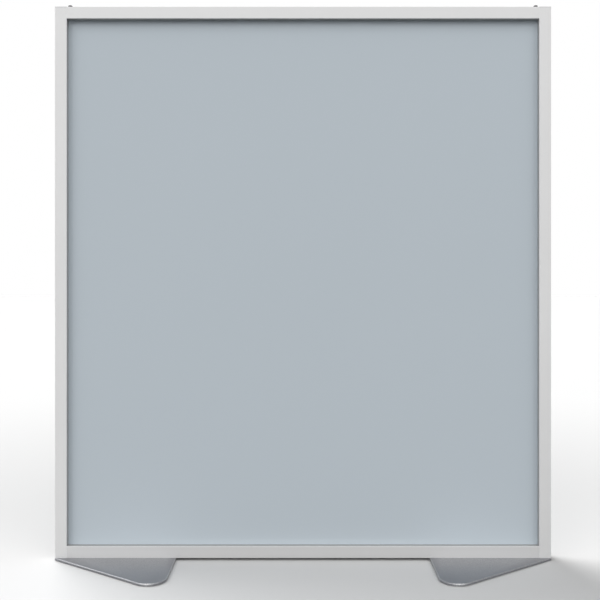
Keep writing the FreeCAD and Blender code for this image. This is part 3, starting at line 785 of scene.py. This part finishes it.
@dataclass
class FrameMembers:
    """The two uprights and the two rails, lengths of one drawn section."""

    skin: float = 2.0 * MM
    groove_width: float = 14.0 * MM
    groove_depth: float = 14.0 * MM
    edge_radius: float = 1.2 * MM
    lip_radius: float = 0.5 * MM
    inner_radius: float = 0.8 * MM
    end_chamfer: float = 0.3 * MM
    screw_inset: float = 19.0 * MM
    access_radius: float = 7.0 * MM
    web_hole_radius: float = 4.5 * MM
    cap_thickness: float = 2.0 * MM
    slot_half_width: float = 4.4 * MM
    knob_inset: float = 5.0 * MM
    bolt_row: float = 15.0 * MM
    bolt_stations: tuple[float, float] = (0.817, 0.505)

    def section(self, width: float, depth: float) -> tuple[Outline, list[Outline]]:
        """The drawn section: local x from the groove outwards, y through the depth.

        Args:
            width: The size of the face seen from the front.
            depth: The wall's depth.

        Returns:
            The outline and the three chambers inside it.
        """
        low, high = (depth - self.groove_width) / 2, (depth + self.groove_width) / 2
        corners = [(0, 0), (width, 0), (width, depth), (0, depth), (0, high),
                   (self.groove_depth, high), (self.groove_depth, low), (0, low)]
        radii = [self.edge_radius] * 4 + [self.lip_radius] * 4
        outer = Outline.polygon(corners, radii)
        skin, web = self.skin, self.groove_depth + self.skin
        chambers = [((web, skin), (width - skin, depth - skin)),
                    ((skin, skin), (self.groove_depth, low - skin)),
                    ((skin, high + skin), (self.groove_depth, depth - skin))]
        return outer, [Outline.rectangle(near, far, self.inner_radius)
                       for near, far in chambers]

    def member(self, name: str, node: str, outward: Vector, along: Vector, finish: Finish,
               cutters: Sequence[Solid]) -> None:
        """One length of the section, with painted shade on the sides that face the board.

        Args:
            name: The piece's name.
            node: The node whose box it fills and that it stands for.
            outward: The direction from its groove to its outer side.
            along: The direction in which it runs.
            finish: Its finish.
            cutters: What is cut out of it.
        """
        where, size = run_of(node, outward, along)
        outer, chambers = self.section(size.x, size.y)
        solid = Solid().extruded(outer, chambers, plain_ends(size.z, self.end_chamfer))
        piece = solid.placed(where).object(name)
        combined(piece, cutters, "DIFFERENCE")
        dressed(piece, finish, BODY, "extrusion", node)
        # Painted shade: the faces towards the board take the darker copy of the anodising.
        piece.data.materials.append(Finishes.REVEAL.material())
        inner = min(corner.dot(outward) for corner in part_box(node)) + self.lip_radius
        for face in piece.data.polygons:
            if face.normal.dot(outward) < -FACING and face.center.dot(outward) < inner:
                face.material_index = 1

    def stile(self, side: Side) -> None:
        """An upright, with its screw holes."""
        node = side.word + "_stile"
        low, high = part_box(node)
        inner, outer = sorted((low.x, high.x), key=abs)
        cutters = []
        for height in (low.z + self.screw_inset, high.z + self.cap_thickness - self.screw_inset):
            cutters.append(drill((outer + side.value * MM, 0, height), -side.outward,
                                 self.access_radius, self.skin + 2 * MM))
            cutters.append(drill((inner - side.value * MM, 0, height), side.outward,
                                 self.web_hole_radius, self.groove_depth + self.skin + 2 * MM))
        self.member(side.word + "_upright", node, side.outward, Z_AXIS, Finishes.STILE, cutters)

    def top_rail(self) -> None:
        """The upper rail, with an open slot in each end for a knob's screw."""
        low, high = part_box("top_rail")
        half, reach = self.slot_half_width, self.knob_inset + 2 * MM
        arc = [Vector((half * math.cos(turn), half * math.sin(turn)))
               for turn in fan(math.pi / 2, math.pi, 16)]
        slot = Outline.unworn([Vector((reach, -half)), Vector((reach, half))] + arc)
        cutters = []
        for side, end in zip(Side, (low.x, high.x)):
            where = axes((end - side.value * self.knob_inset, 0, high.z - self.skin - MM),
                         side.outward, Y_AXIS, Z_AXIS)
            cutters.append(Solid().extruded(slot, [], [Station(0.0), Station(4 * MM)])
                           .placed(where))
        self.member("upper_rail", "top_rail", Z_AXIS, X_AXIS, Finishes.RAIL, cutters)

    def bottom_rail(self) -> None:
        """The lower rail, with clearance holes for the foot bolts, in a darker copy of the
        anodising that paints shade.
        """
        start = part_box("bottom_rail")[0].z - MM
        cutters = [drill((side.value * station, row * self.bolt_row, start), Z_AXIS,
                         self.web_hole_radius, self.skin + 2 * MM)
                   for side in Side for station in self.bolt_stations for row in (-1, 1)]
        self.member("lower_rail", "bottom_rail", -Z_AXIS, X_AXIS, Finishes.LOWER_RAIL, cutters)

    def build(self) -> None:
        """Make all four members."""
        for side in Side:
            self.stile(side)
        self.top_rail()
        self.bottom_rail()


@dataclass
class EndClosures:
    """What closes an upright: its cap on top and the plugs in its outer side."""

    side: Side
    corner_radius: float = 1.2 * MM
    top_radius: float = 0.7 * MM
    cover: float = 2.0 * MM
    web: float = 16.3 * MM
    wall: float = 2.3 * MM
    plug_wall: float = 1.5 * MM
    plug_rim: float = 6.85 * MM
    plug_profile: tuple[tuple[float, float], ...] = (
        (0, 0.25), (4.6, 0.25), (4.9, 0), (6.5, 0), (6.75, 0.1), (6.85, 0.35), (6.85, 2),
        (6.15, 2), (6.15, 3.2), (6.3, 3.5), (6.15, 6), (4.85, 6), (4.85, 2.4), (0, 2.4))

    def cap(self) -> None:
        """The cap: a rounded cover with a hollow plug under it."""
        node = self.side.word + "_stile_cap"
        low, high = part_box(node)
        size = high - low
        outline = Outline.rectangle((0, 0), (size.x, size.y), self.corner_radius)
        stations = [Station(0.0), Station(self.cover - self.top_radius - 0.1 * MM)]
        where = axes((min(low.x, high.x, key=abs), low.y, high.z - self.cover),
                     self.side.outward, Y_AXIS, Z_AXIS)
        cover = Solid().extruded(outline, [], stations
                                 + round_top(self.cover, self.top_radius, 4))
        piece = cover.placed(where).object(self.side.word + "_end_cap")
        shell, hollow = (Outline.rectangle(
            (self.web + more, self.wall + more),
            (size.x - self.wall - more, size.y - self.wall - more), radius)
            for more, radius in ((0.0, 0.6 * MM), (self.plug_wall, 0.4 * MM)))
        drop = size.z - self.cover
        plug = Solid().extruded(shell, [hollow], [
            Station(-drop, 0.5 * MM), Station(-drop + 1.5 * MM), Station(0.5 * MM)])
        combined(piece, [plug.placed(where)], "UNION")
        dressed(piece, Finishes.CAP, BODY, "cap", node)

    def plugs(self) -> None:
        """The two push-in plugs, each with a dished face and a snap barb."""
        node = self.side.word + "_access_plugs"
        low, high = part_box(node)
        face = max(low.x, high.x, key=abs)
        profile = [(radius * MM, depth * MM) for radius, depth in self.plug_profile]
        pair = Solid.copies(profile, 48, [
            axes((face, 0, height), Y_AXIS, Z_AXIS * self.side.value, -self.side.outward)
            for height in (low.z + self.plug_rim, high.z - self.plug_rim)])
        dressed(pair.object(self.side.word + "_hole_plugs"), Finishes.PLUG, BODY, "plug", node)

    def build(self) -> None:
        """Make the cap and the plugs."""
        self.cap()
        self.plugs()


@dataclass
class Infill:
    """The board and the soft gaskets round its edge."""

    laminate: float = 0.8 * MM
    core_setback: float = 0.15 * MM
    arris: float = 0.25 * MM
    gasket_floor: float = 2.0 * MM
    leg: float = 2.0 * MM
    tip_radius: float = 0.9 * MM
    root_radius: float = 0.3 * MM

    def board(self) -> None:
        """The board: a fibre core between two laminate skins that stand a hair proud."""
        low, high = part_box("infill_board")
        size = high - low
        outline = Outline.rectangle((low.x, low.z), (high.x, high.z), 0.5 * MM)
        half = [Station(0.0, self.arris), Station(self.arris), Station(self.laminate),
                Station(self.laminate, self.core_setback)]
        solid = Solid().extruded(outline, [], half + mirrored(half, size.y))
        piece = solid.placed(axes((0, low.y, 0), X_AXIS, Z_AXIS, Y_AXIS)).object("infill_panel")
        dressed(piece, Finishes.LAMINATE, BODY, "board", "infill_board")
        piece.data.materials.append(Finishes.CORE.material())
        reach = size.y / 2 - self.laminate + 0.01 * MM
        for face in piece.data.polygons:
            if abs(face.center.y - (low.y + high.y) / 2) < reach:
                face.material_index = 1

    def gasket(self, place: Place, inward: Vector, along: Vector) -> None:
        """One gasket, a U in section, with rounded legs.

        Args:
            place: The member whose groove it lies in.
            inward: The direction from the gasket's floor to the middle of the wall.
            along: The direction in which it runs.
        """
        node = place.word + "_gasket"
        where, (deep, wide, length) = run_of(node, inward, along)
        leg, floor = self.leg, self.gasket_floor
        corners = [(0, 0), (deep, 0), (deep, leg), (floor, leg), (floor, wide - leg),
                   (deep, wide - leg), (deep, wide), (0, wide)]
        tip, root = self.tip_radius, self.root_radius
        outline = Outline.polygon(corners, [root, tip, tip, root] * 2)
        solid = Solid().extruded(outline, [], [Station(0.0), Station(length)])
        dressed(solid.placed(where).object(place.word + "_seal"), Finishes.GASKET, BODY,
                "gasket", node)

    def build(self) -> None:
        """Make the board and its four gaskets."""
        self.board()
        for side in Side:
            self.gasket(side, -side.outward, Z_AXIS)
        for level in Level:
            self.gasket(level, -Z_AXIS * level.value, X_AXIS)


@dataclass
class ClampKnob:
    """A hand knob with its moulded-in screw and its washer."""

    side: Side
    flutes: int = 18
    flute_depth: float = 0.7 * MM
    collar: float = 1.8 * MM
    crown_radius: float = 5.5 * MM
    bore_depth: float = 7.1 * MM
    bore_radius: float = 4.05 * MM
    dish_radius: float = 4.8 * MM
    pitch: float = 1.25 * MM
    thread_depth: float = 0.68 * MM
    lead_in: float = 1.0 * MM
    washer_chamfer: float = 0.2 * MM
    washer_bore: float = 4.4 * MM

    @property
    def knob_body(self) -> str:
        """The body that the knob turns with."""
        return self.side.word + "_clamp_knob"

    def knob(self) -> None:
        """The knob: a smooth collar, a fluted grip and a dished crown."""
        node = self.side.word + "_knob"
        where, radius, height = axle_of(node)
        drop = radius - self.crown_radius
        shoulder = height - drop
        bore, bore_depth = self.bore_radius, self.bore_depth
        rise = [self.collar + share * (shoulder - self.collar) for share in
                (0.02, 0.06, 0.1, 0.35, 0.65, 0.9, 0.96, 1.0)]
        profile = ([(0.0, bore_depth), (bore, bore_depth), (bore, 0.3 * MM),
                    (bore + 0.3 * MM, 0.0), (radius - 0.4 * MM, 0.0), (radius, 0.4 * MM),
                    (radius, self.collar - 0.15 * MM), (radius - 0.1 * MM, self.collar)]
                   + [(radius, level) for level in rise])
        profile += [(self.crown_radius + drop * math.cos(turn), shoulder + drop * math.sin(turn))
                    for turn in fan(0.0, math.pi / 2, 6)[1:]]
        dish = self.dish_radius
        profile += [(dish, height), (dish - 0.4 * MM, height - 0.35 * MM),
                    (1.6 * MM, height - 0.45 * MM), (0.0, height - 0.4 * MM)]

        def fluted(reach: float, turn: float, level: float) -> float:
            """The grip's radius: scallops that run out at the collar and the crown."""
            run_in = min(max((level - self.collar) / (0.8 * MM), 0.0), 1.0)
            run_out = min(max((height - 0.6 * MM - level) / (2.2 * MM), 0.0), 1.0)
            scallop = math.sin(self.flutes * turn / 2) ** 4
            outside = reach > self.crown_radius - 0.1 * MM
            depth = self.flute_depth * (1 - scallop) * run_in * run_out
            return reach - depth if outside and level > self.collar else reach

        solid = Solid().turned(profile, self.flutes * 10, fluted, worn_and_highlit=range(15, 20))
        dressed(solid.placed(where).object(self.side.word + "_hand_knob"), Finishes.KNOB,
                self.knob_body, "knob", node)

    def stud(self) -> None:
        """The knob's screw, with its thread."""
        node = self.side.word + "_stud"
        where, radius, length = axle_of(node)
        steps = round(length / self.pitch * 10)
        profile = [(0.0, 0.0), (radius - self.thread_depth, 0.0)]
        profile += [(radius, length * step / steps) for step in range(1, steps)]
        profile += [(radius - self.thread_depth, length), (0.0, length)]

        def threaded(reach: float, turn: float, level: float) -> float:
            """The thread's radius at an angle and a height."""
            if reach < radius:
                return reach
            phase = (level / self.pitch - turn / (2 * math.pi)) % 1.0
            flank = min(max(abs(phase - 0.5) * 2.6 - 0.25, 0.0), 1.0)
            start = min(level, length - level) / self.lead_in
            crest = radius - self.thread_depth * max(1 - start, 0.0)
            return min(radius - self.thread_depth * flank, crest)

        solid = Solid().turned(profile, 36, threaded)
        dressed(solid.placed(where).object(self.side.word + "_knob_screw"), Finishes.STUD,
                self.knob_body, "zinc", node)

    def washer(self) -> None:
        """The washer under the knob."""
        node = self.side.word + "_washer"
        where, radius, thick = axle_of(node)
        bore, cut = self.washer_bore, self.washer_chamfer
        profile = [(bore, cut), (bore + cut, 0.0), (radius - cut, 0.0), (radius, cut),
                   (radius, thick - cut), (radius - cut, thick), (bore + cut, thick),
                   (bore, thick - cut), (bore, cut)]
        solid = Solid().turned(profile, 64, worn_and_highlit=(3, 4, 5))
        dressed(solid.placed(where).object(self.side.word + "_clamp_ring"), Finishes.WASHER,
                self.side.word + "_clamp_washer", "washer", node)

    def build(self) -> None:
        """Make the washer, the screw and the knob."""
        self.washer()
        self.stud()
        self.knob()


@dataclass
class Foot:
    """A flat steel foot with its rubber pads."""

    side: Side
    corner: float = 60.0 * MM
    end_half: float = 30.0 * MM
    top_radius: float = 3.0 * MM
    lower_chamfer: float = 0.4 * MM
    hole_radius: float = 4.5 * MM
    countersink_radius: float = 8.15 * MM
    bolt_row: float = 15.0 * MM
    bolt_stations: tuple[float, float] = (83.0 * MM, 395.0 * MM)
    pad_radius: float = 20.0 * MM
    pad_inset: float = 32.0 * MM
    tip_half_width: float = 26.0 * MM
    side_wear: float = 0.23
    round_steps: int = 28

    def outline(self, length: float, reach: float) -> Outline:
        """The plate's outline: x from its narrow outer end, y through the wall.

        Args:
            length: The plate's length along the wall.
            reach: The distance from its middle line to its tip.

        Returns:
            The outline.
        """
        centre = Vector((length - self.corner, reach - self.corner))
        to_centre = centre - Vector((0, self.end_half))
        lean = math.atan2(to_centre.y, to_centre.x) + math.asin(self.corner / to_centre.length)
        sweep = math.pi / 2 + lean
        front = [Vector((centre.x, -centre.y))
                 + self.corner * Vector((math.cos(turn), math.sin(turn)))
                 for turn in fan(-sweep, sweep, self.round_steps)]
        back = [Vector((point.x, -point.y)) for point in reversed(front)]
        ends = [Vector((0, self.end_half)), Vector((0, -self.end_half))]
        return Outline.unworn(ends + front + back)

    def plate(self) -> None:
        """The plate, rounded above with a painted highlight along its edges that is brightest at
        its tips, countersunk below.
        """
        node = self.side.word + "_foot_plate"
        low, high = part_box(node)
        size = high - low
        holes = [Outline.circle((station, row * self.bolt_row), self.hole_radius)
                 for station in self.bolt_stations for row in (-1, 1)]
        sink = self.countersink_radius - self.hole_radius
        chamfer = self.lower_chamfer
        stations = [Station(0.0, chamfer, sink, 1.0), Station(chamfer, 0.0, sink - chamfer, 1.0),
                    Station(sink), Station(size.z - self.top_radius - GUARD / 2),
                    *round_top(size.z, self.top_radius, 8),
                    Station(size.z, self.top_radius + GUARD)]

        def at_outer_end(start: Vector, end: Vector) -> bool:
            """Whether an edge is the plate's outer end, which stays square."""
            return start.x < MM and end.x < MM

        solid = Solid().extruded(self.outline(size.x, size.y / 2), holes, stations,
                                 at_outer_end)
        # Painted highlight: the edge mask is cut down along the sides and kept full at the tips.
        painted_highlight_layer = solid.wear_layer()
        for vert in solid.mesh.verts:
            away = abs(vert.co.x - (size.x - self.corner)) / self.tip_half_width
            tip_highlight = max(1 - away, 0.0) if abs(vert.co.y) > self.corner else 0.0
            vert[painted_highlight_layer] *= self.side_wear + (1 - self.side_wear) * tip_highlight
        where = axes((max(low.x, high.x, key=abs), 0, low.z), -self.side.outward, Y_AXIS,
                     Z_AXIS)
        dressed(solid.placed(where).object(self.side.word + "_foot"), Finishes.FOOT, BODY,
                "foot_steel", node)

    def pads(self) -> None:
        """The four rubber pads, ribbed in rings underneath."""
        node = self.side.word + "_floor_pads"
        low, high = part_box(node)
        thick, radius = high.z - low.z, self.pad_radius
        plate_low, plate_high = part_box(self.side.word + "_foot_plate")
        inner, outer = sorted((plate_low.x, plate_high.x), key=abs)
        tip, inset = plate_high.y - self.corner, self.side.value * self.pad_inset
        under_tip = inner + self.side.value * self.corner
        spots = [(outer - inset, 0.0), (inner + inset, 0.0), (under_tip, -tip), (under_tip, tip)]
        profile = [(0.0, 0.0)]
        for ring in range(1, 5):
            edge = ring * radius / 5
            profile += [(edge - 0.4 * MM, 0.0), (edge, 0.4 * MM), (edge + 0.4 * MM, 0.0)]
        profile += [(radius - 0.4 * MM, 0.0), (radius, 0.4 * MM), (radius, thick),
                    (0.0, thick)]
        group = Solid.copies(profile, 56, [Matrix.Translation((x, y, low.z)) for x, y in spots])
        dressed(group.object(self.side.word + "_pads"), Finishes.PAD, BODY, "pad_rubber", node)

    def build(self) -> None:
        """Make the plate and its pads."""
        self.plate()
        self.pads()


class InnerHardware:
    """What holds the frame together inside: its shapes stay as the frame has them."""

    finishes = {"corner_screws": Finishes.STUD, "foot_bolts": Finishes.STUD,
                "nut_block": Finishes.BLOCK}

    def build(self) -> None:
        """Finish the spigots, nut blocks, screws and bolts."""
        for side in Side:
            for part, finish in self.finishes.items():
                finish_node(f"{side.word}_{part}", finish)
            for level in Level:
                finish_node(f"{level.word}_{side.word}_spigot", Finishes.BLOCK)


# ---- the studio

@dataclass(frozen=True)
class SoftLight:
    """A wide, distant soft light: where it stands as seen from the wall, and its strength."""

    name: str
    toward: tuple[float, float, float]
    strength: float
    spread: float

    def build(self) -> None:
        """Hang the light."""
        data = bpy.data.lights.new(self.name, "SUN")
        data.energy, data.angle = self.strength, math.radians(self.spread)
        lamp = linked(self.name, data)
        lamp.rotation_euler = Vector(self.toward).to_track_quat("Z", "Y").to_euler()
        LOG.info("%s: light of strength %.2f", self.name, self.strength)


@dataclass
class Studio:
    """A pale floor, soft lights, a white surround and the camera."""

    floor_radius: float = 60.0
    floor_tone: float = 0.628
    floor_bounce: float = 0.05
    far_tone: float = 1.10
    near_floor: float = 1.2
    far_floor: float = 5.0
    back_glow: float = 0.08
    front_glow: float = 0.715
    zenith_share: float = 0.8
    front_edge: tuple[float, float] = (-0.25, 0.05)
    front: tuple[float, float, float] = (-0.12, -0.98, 0.10)
    key: SoftLight = SoftLight("key_light", (-0.62, 0.60, 0.75), 3.62, 54.0)
    fills: tuple[SoftLight, ...] = (
        SoftLight("left_fill", (-0.66, -0.80, 0.62), 0.93, 50.0),
        SoftLight("right_fill", (0.60, -0.80, 0.80), 0.72, 50.0))
    camera_place: tuple[float, float, float] = (0.0, -3.0, 1.0095)
    lens: float = 49.14
    shift: tuple[float, float] = (-0.005, -0.0292)

    def floor(self) -> None:
        """A wide, matt, pale floor, painted darker near the wall as painted shade and lighter
        further out, that throws back less light than it shows.
        """
        made = Solid()
        rim = Outline.circle((0, 0), self.floor_radius, 96)
        made.mesh.faces.new(made.ring([point.to_3d() for point in rim.points], rim.wear))
        plane = made.object("studio_floor")
        paint = bpy.data.materials.new("studio_floor")
        canvas = Canvas.cleared(paint)
        place = canvas.add("TexCoord").outputs["Object"]
        away = canvas.add("VectorMath", {0: place}, operation="LENGTH").outputs["Value"]
        # Painted shade: the floor's tone is lower near the wall and rises by far_tone out to
        # far_floor.
        far = canvas.share(away, self.near_floor, self.far_floor, "SMOOTHSTEP")
        coats = []
        for tone in (self.floor_tone, self.floor_bounce):
            color = canvas.blend(far, (*[tone] * 3, 1.0), (*[tone * self.far_tone] * 3, 1.0))
            coats.append(canvas.add("BsdfDiffuse", {"Color": color}).outputs[0])
        canvas.by_ray("Is Diffuse Ray", *coats, "OutputMaterial")
        plane.data.materials.append(paint)

    def surround_light(self) -> None:
        """A white surround whose front half gives most of the light."""
        world = bpy.data.worlds.new("white_surround")
        canvas = Canvas.cleared(world)
        ray = canvas.add("TexCoord").outputs["Generated"]
        ahead = canvas.add("VectorMath", {0: ray, 1: Vector(self.front).normalized()},
                           operation="DOT_PRODUCT").outputs["Value"]
        glow = canvas.spread(canvas.share(ahead, *self.front_edge, "SMOOTHSTEP"),
                             self.back_glow, self.front_glow)
        rise = canvas.add("SeparateXYZ", {0: ray}).outputs["Z"]
        glow = canvas.product(glow, canvas.spread(rise, 1.0, self.zenith_share))
        lit, shown = (canvas.add("Background", {"Color": WHITE, "Strength": level}).outputs[0]
                      for level in (glow, 1.0))
        canvas.by_ray("Is Camera Ray", lit, shown, "OutputWorld")
        bpy.context.scene.world = world

    def camera(self) -> None:
        """A level camera in front of the wall."""
        data = bpy.data.cameras.new("front_camera")
        data.lens, data.sensor_width = self.lens, 36.0
        data.shift_x, data.shift_y = self.shift
        eye = linked("front_camera", data)
        eye.location = self.camera_place
        eye.rotation_euler = (math.pi / 2, 0.0, 0.0)
        bpy.context.scene.camera = eye

    def build(self) -> None:
        """Set everything up."""
        self.floor()
        self.surround_light()
        for light in (self.key, *self.fills):
            light.build()
        self.camera()
        bpy.context.scene.view_settings.view_transform = "Standard"


def main() -> None:
    """Build the wall, then the studio round it."""
    logging.basicConfig(level=logging.INFO, format="%(message)s")
    FrameMembers().build()
    for side in Side:
        EndClosures(side).build()
    Infill().build()
    for side in Side:
        ClampKnob(side).build()
        Foot(side).build()
    InnerHardware().build()
    Studio().build()


if __name__ == "__main__":
    main()
